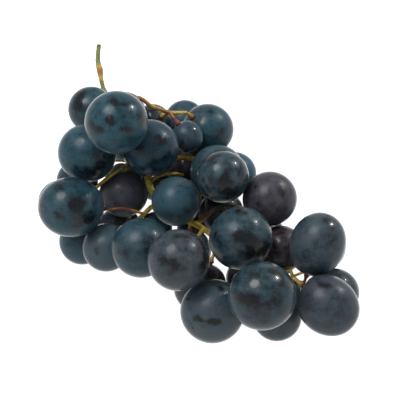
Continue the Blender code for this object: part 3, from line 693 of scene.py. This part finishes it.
def make_berry(name, berry):
    """One finished berry, which takes the place of its solid: the formula's points, wax, wine and scar at
    each of them, and its skin."""
    node = "grape_" + name
    skin = SLOTS[node]
    random = np.random.default_rng(BERRY_SEED + int(name))
    points, ways, down = berry_points(berry, random)
    finish = berry_finish(name, berry, ways, down, skin, random)
    piece = make_piece("berry_" + name, points, SKIN_FACES, finish)
    piece.data.materials.append(skins[skin])
    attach(piece, "root")
    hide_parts(node)
    return piece


made = [make_berry(name, berry) for name, berry in berries.items()]
print(len(made), "berries of", len(SKIN_FACES), "faces")

# %% [markdown]
# ## The stalks
# The solid stalks are eight-sided tubes joined with hard creases. Real ones flow into each other, swell at
# every fork and are a little knobbly. Rebuilding each run as a smooth tube would leave the forks creased,
# so the whole solid is copied, its corners merged, and covered with a fine even skin by the voxel Remesh
# modifier. A few passes of smoothing soften the forks, but they thin the stalks a little. A formula then
# fills them out again and adds the knobs.

# %% Remesh the stalks
STALK_VOXEL = 0.3 * MM
STALK_SMOOTHING = 5
SMOOTHING_SHARE = 0.5
STALK_FILLING = 0.03 * MM
KNOBS = ((0.05, 900.0), (0.03, 2300.0))
KNOB_SHIFT = (0.3, 1.1, 2.0)


def merged_copy(name, node):
    """A new piece with the solid's corners merged, so that modifiers see one closed surface."""
    corners, triangles, _ = read_solid(node)
    return make_piece(name, corners, triangles.tolist(), {})


def apply_modifiers(piece):
    """Puts the mesh that the modifiers give in place of the piece's own."""
    graph = bpy.context.evaluated_depsgraph_get()
    finished = bpy.data.meshes.new_from_object(piece.evaluated_get(graph))
    piece.modifiers.clear()
    old = piece.data
    piece.data = finished
    bpy.data.meshes.remove(old)


def read_points(mesh):
    """The mesh's points, and the direction that its surface faces at each."""
    points = np.empty(len(mesh.vertices) * 3, np.float32)
    mesh.vertices.foreach_get("co", points)
    normals = np.empty(len(mesh.vertices) * 3, np.float32)
    mesh.vertices.foreach_get("normal", normals)
    return points.reshape(-1, 3).astype(float), normals.reshape(-1, 3).astype(float)


def knobs(points):
    """Low bumps: the product of three sine waves along X, Y and Z, at two scales, each of them given
    as a height in millimetres and as radians in a metre."""
    height = np.zeros(len(points))
    for depth, scale in KNOBS:
        waves = np.sin(points * scale + KNOB_SHIFT).prod(axis=1)
        height += depth * MM * waves
    return height


stalks = merged_copy("stalk_tree", frame["nodes"]["stalks"])
remesh = stalks.modifiers.new("Even skin", "REMESH")
remesh.mode = "VOXEL"
remesh.voxel_size = STALK_VOXEL
remesh.use_smooth_shade = True
smooth = stalks.modifiers.new("Round the forks", "SMOOTH")
smooth.factor = SMOOTHING_SHARE
smooth.iterations = STALK_SMOOTHING
apply_modifiers(stalks)
stalk_points, stalk_normals = read_points(stalks.data)
stalk_points += stalk_normals * (knobs(stalk_points) + STALK_FILLING)[:, None]
stalks.data.vertices.foreach_set("co", stalk_points.astype(np.float32).ravel())
stalks.data.shade_smooth()
print("stalks:", len(stalks.data.polygons), "faces")

# %% [markdown]
# ## Where the stalks change colour
# A stalk isn't one green. It is olive by the cut end, orange brown where it forks at the top, yellow lower
# down, and the thin pedicels blush red towards the berry, collars and all. The cut end has dried, and so
# have some brown stretches in the middle. One more zone of that kind is painted shade: it darkens a stalk
# beside berry 19 to sink it into the shadow. The zones are balls, given as right, up and near from the
# camera's aim in millimetres, with their reach and an amount. Each adds a bell curve of warmth, red or
# dryness at its place, or takes warmth away where it is a green one.

# %% Colour zones of the stalks
ZONES = (
    ("dry_and_shade", -45.5, 71.0, -36.0, 2.2, 1.0),
    ("dry_and_shade", 2.0, -3.0, -11.0, 4.5, 0.6),
    ("dry_and_shade", 13.0, -2.5, -9.0, 7.0, 0.6),
    # This zone is painted shade, not a withered stretch: it darkens a stalk beside berry 19 so that it
    # sinks into the shadow there.
    ("dry_and_shade", 2.6, -0.5, -7.0, 4.0, 0.9),
    ("dry_and_shade", 10.0, -1.5, -15.5, 5.0, 0.7),
    ("warm", -45.0, 58.0, -35.0, 2.8, 0.75),
    ("warm", -25.5, 42.5, -5.0, 6.5, 0.8),
    ("warm", -15.0, 39.0, -14.0, 4.5, 0.6),
    ("warm", -7.0, 18.5, -25.0, 7.0, 0.3),
    ("warm", -23.0, -6.0, -12.0, 5.0, 0.2),
    ("warm", 4.0, -6.0, -11.0, 6.0, 0.6),
    ("green", -46.0, 66.0, -35.5, 5.0, 0.8),
    ("green", -43.0, 50.0, -34.0, 4.5, 0.6),
    ("green", -35.0, 13.0, -9.0, 5.0, 0.25),
    ("red", -33.0, -3.5, -6.0, 8.0, 0.9),
    ("red", -10.8, 34.2, -15.0, 3.2, 1.0),
    ("red", -16.4, 36.3, -14.0, 3.0, 0.8),
    ("red", 4.5, -5.5, -12.0, 6.0, 0.8),
    ("red", 43.5, -31.0, 14.5, 4.0, 1.0),
)
BLUSH_REACH = 2.6 * MM
STALK_WARMTH = 0.42
COLLAR_BLUSH = 0.85


def zone_level(points, kind):
    """The sum of the bell curves of every zone of this kind."""
    level = np.zeros(len(points))
    for zone, right, up, near, reach, amount in ZONES:
        if zone == kind:
            middle = aim + (right * RIGHT + up * UP + near * NEAR) * MM
            distance = np.linalg.norm(points - middle, axis=1)
            level += amount * np.exp(-((distance / (reach * MM)) ** 2))
    return level


def blush(points):
    """Red near the place where a pedicel meets its berry: a bell curve of the distance from it."""
    ends = np.array([berry["centre"] + berry["length"] * berry["axis"] for berry in berries.values()])
    distance = np.linalg.norm(points[:, None] - ends[None], axis=2).min(axis=1)
    return np.exp(-((distance / BLUSH_REACH) ** 2))


def stalk_finish(points):
    """Warmth is the common level plus the warm zones less the green ones, red is the red zones plus the
    blush, and dryness is the sum of the dry zones, one of which is painted shade."""
    warm = STALK_WARMTH + zone_level(points, "warm") - zone_level(points, "green")
    red = zone_level(points, "red") + COLLAR_BLUSH * blush(points)
    return {"warm": warm, "red": red, "dry_and_shade": zone_level(points, "dry_and_shade")}


stalk_levels = stalk_finish(stalk_points)
store(stalks.data, stalk_levels)
print("highest levels:", {name: round(float(values.max()), 2) for name, values in stalk_levels.items()})

# %% [markdown]
# ## The collars
# Where a pedicel meets its grape it widens into a round, warty collar that sits in the dimple. On the solid
# it is a plain cone end with a gap under it. A turned profile is the natural way to make a collar: its
# radius and height are given down the profile, and the warts are small waves in the radius round it.

# %% Make the collars
COLLAR_SIDES = 28
COLLAR = np.array(
    (
        (2.0, 0.70),
        (1.5, 0.76),
        (1.0, 0.95),
        (0.65, 1.20),
        (0.40, 1.36),
        (0.15, 1.34),
        (-0.15, 1.20),
        (-0.9, 0.9),
    )
)
WART = 0.06
WART_COUNTS = (7.0, 11.0)
FINER_WART = 0.7
COLLAR_TIP = 0.2 * MM
COLLAR_SEED = 11


def collar_points(berry, random):
    """Each ring of the profile goes round the berry's axis at its height over the skin. Its radius
    swells and shrinks by two waves, out of step from ring to ring. A point just past the first ring
    and one just past the last close the two ends."""
    turn = 2.0 * np.pi * np.arange(COLLAR_SIDES) / COLLAR_SIDES
    starts = random.uniform(0.0, 2.0 * np.pi, (2, len(COLLAR), 1))
    coarse = np.sin(WART_COUNTS[0] * turn + starts[0])
    fine = np.sin(WART_COUNTS[1] * turn + starts[1])
    warts = WART * (coarse + FINER_WART * fine)
    rings = COLLAR[:, 1:] * (1.0 + warts) * MM
    one, two = across(berry["axis"])
    heights = berry["length"] + COLLAR[:, 0] * MM
    around = np.cos(turn)[None, :, None] * one + np.sin(turn)[None, :, None] * two
    points = berry["centre"] + rings[..., None] * around + (heights[:, None] * berry["axis"])[:, None]
    top = berry["centre"] + (heights[0] + COLLAR_TIP) * berry["axis"]
    bottom = berry["centre"] + (heights[-1] - COLLAR_TIP) * berry["axis"]
    return np.vstack((top, points.reshape(-1, 3), bottom))


collar_random = np.random.default_rng(COLLAR_SEED)
collar_faces = ball_faces(len(COLLAR), COLLAR_SIDES)
all_points = [collar_points(berry, collar_random) for berry in berries.values()]
all_faces = [
    [corner + count * len(points) for corner in face]
    for count, points in enumerate(all_points)
    for face in collar_faces
]
all_points = np.vstack(all_points)
collars = make_piece("collars", all_points, all_faces, stalk_finish(all_points))
print("collars:", len(all_faces), "faces")

# %% [markdown]
# ## Stalk finish
# Fresh stalk is a waxy green with fine brown flecks, the lenticels it breathes through. Three attributes
# steer the colour: warmth takes it from olive over yellow to orange brown, red is the blush, and the third
# is the grey brown of the cut end and the withered stretches, which also paints shade on one stalk. Flecks
# and a low grain come from noise, and a little light under the surface keeps thin stalks from looking like
# painted wire.

# %% Make the stalk finish
STALK_OLIVE = (116, 122, 58)
STALK_YELLOW = (188, 162, 60)
STALK_ORANGE = (150, 98, 40)
STALK_RED = (122, 52, 46)
# The grey brown of dried stalk, which also serves as painted shade on one stalk.
STALK_DRY_AND_SHADE = (62, 58, 46)
FLECK_BROWN = (96, 68, 34)
PATCHES = (260.0, 3.0, 0.5, 0.0)
GRAIN = (1500.0, 3.0, 0.6, 0.0)
WARM_PATCHES, RED_PATCHES = 0.9, 0.8
YELLOW_STEP = (0.0, 0.5)
ORANGE_STEP = (0.45, 1.0)
RED_STEP = (0.15, 0.9)
DRY_AND_SHADE_STEP = (0.2, 0.7)
FLECK_STEP = (0.07, 0.16, 0.0, 0.6)
ROUGHNESS_STEP = (-0.2, 0.2, 0.42, 0.62)
STALK_RELIEF = 0.08 * MM
GLOW_THROUGH = 0.15
GLOW_COLOURS = (1.0, 0.5, 0.2)
GLOW_REACH = 0.6 * MM


def make_stalk_finish():
    """Starts from olive and lays each colour over the last one, as far as its own level has risen
    through a soft step."""
    material = bpy.data.materials.new("stalk")
    material.use_nodes = True
    tree = material.node_tree
    shader = tree.nodes["Principled BSDF"]
    where = place(tree, "TexCoord").outputs["Object"]
    read = {name: place(tree, "Attribute", attribute_name=name).outputs["Fac"] for name in stalk_levels}
    patches = noise(tree, where, PATCHES)
    grain = noise(tree, where, GRAIN)
    warm = plus(tree, read["warm"], times(tree, patches, WARM_PATCHES))
    red = plus(tree, read["red"], times(tree, patches, RED_PATCHES))
    colour = screen(*STALK_OLIVE)
    for amount, step, shade in (
        (warm, YELLOW_STEP, STALK_YELLOW),
        (warm, ORANGE_STEP, STALK_ORANGE),
        (red, RED_STEP, STALK_RED),
        (grain, FLECK_STEP, FLECK_BROWN),
        # This level lays the grey brown of dried stalk, and on one stalk painted shade.
        (read["dry_and_shade"], DRY_AND_SHADE_STEP, STALK_DRY_AND_SHADE),
    ):
        colour = blend(tree, soft_step(tree, amount, *step), colour, screen(*shade))
    tree.links.new(colour, shader.inputs["Base Color"])
    tree.links.new(soft_step(tree, grain, *ROUGHNESS_STEP), shader.inputs["Roughness"])
    bump = place(tree, "Bump", {"Height": grain, "Distance": STALK_RELIEF})
    tree.links.new(bump.outputs["Normal"], shader.inputs["Normal"])
    shader.inputs["Subsurface Weight"].default_value = GLOW_THROUGH
    shader.inputs["Subsurface Radius"].default_value = GLOW_COLOURS
    shader.inputs["Subsurface Scale"].default_value = GLOW_REACH
    return material


stalk_material = make_stalk_finish()
for piece in (stalks, collars):
    piece.data.materials.clear()
    piece.data.materials.append(stalk_material)
    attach(piece, "root")
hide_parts("stalks")

# %% [markdown]
# ## Table and light
# The bunch lies on a bright white table, of the kind that glows from under, so it throws no dark shadow.
# The camera sees the table and the sky behind it at full brightness, but both are dimmer for the fruit:
# all of that light would wash out the dark skins. A soft box high on the left gives the broad glow on each
# berry, and a small lamp behind on the right gives the sharp dots on the glossy ones. The sky fills in,
# and it is brighter near the table than overhead, for that is the part which the rims mirror. A ring of
# lamps could do the same, but each lamp would put one more dot on every berry.

# %% Table, lamps and world
SOFT_BOX = {"way": (-0.40, -0.09, 0.91), "distance": 0.8, "size": 0.42, "power": 4.4}
SMALL_LAMP = {"way": (0.69, 0.40, 0.61), "distance": 0.9, "size": 0.05, "power": 3.0}
TABLE_HALF = 10.0
TABLE_SHADE = 0.3
TABLE_ROUGHNESS = 0.6
TABLE_GLOW = 0.62
SKY_COLOUR = (0.92, 0.96, 1.0, 1.0)
SKY_OVERHEAD = 0.42
SKY_AT_TABLE = 0.72
SKY_STEP = (0.0, 0.7)


def make_lamp(name, way, distance, size, power):
    """A round lamp at a distance from the aim along a direction, turned to face the aim."""
    lamp = bpy.data.lights.new(name, "AREA")
    lamp.shape = "DISK"
    lamp.size = size
    lamp.energy = power
    holder = bpy.data.objects.new(name, lamp)
    toward = Vector(way).normalized()
    holder.location = Vector(aim) + toward * distance
    holder.rotation_euler = toward.to_track_quat("Z", "Y").to_euler()
    bpy.context.scene.collection.objects.link(holder)


def make_table():
    """A flat square whose glow is full for the camera's own rays and lower for all others."""
    corners = np.array(((-1, -1, 0), (1, -1, 0), (1, 1, 0), (-1, 1, 0))) * TABLE_HALF
    table = make_piece("table", corners, [[0, 1, 2, 3]], {})
    material = bpy.data.materials.new("table")
    material.use_nodes = True
    tree = material.node_tree
    shader = tree.nodes["Principled BSDF"]
    seen = place(tree, "LightPath").outputs["Is Camera Ray"]
    tree.links.new(maths(tree, "MAXIMUM", seen, TABLE_GLOW), shader.inputs["Emission Strength"])
    shader.inputs["Base Color"].default_value = (TABLE_SHADE, TABLE_SHADE, TABLE_SHADE, 1.0)
    shader.inputs["Roughness"].default_value = TABLE_ROUGHNESS
    shader.inputs["Emission Color"].default_value = (1.0, 1.0, 1.0, 1.0)
    table.data.materials.append(material)


def make_sky():
    """The sky's strength goes by height: a soft step of the direction's Z, or one where it is seen."""
    world = bpy.data.worlds.new("studio")
    world.use_nodes = True
    tree = world.node_tree
    background = tree.nodes["Background"]
    height = place(tree, "SeparateXYZ", {0: place(tree, "TexCoord").outputs["Generated"]}).outputs["Z"]
    strength = soft_step(tree, height, *SKY_STEP, SKY_AT_TABLE, SKY_OVERHEAD)
    seen = place(tree, "LightPath").outputs["Is Camera Ray"]
    tree.links.new(maths(tree, "MAXIMUM", seen, strength), background.inputs["Strength"])
    background.inputs["Color"].default_value = SKY_COLOUR
    bpy.context.scene.world = world


make_lamp("soft_box", **SOFT_BOX)
make_lamp("small_lamp", **SMALL_LAMP)
make_table()
make_sky()
print("table, sky and lamps:", [lamp.name for lamp in bpy.data.lights])
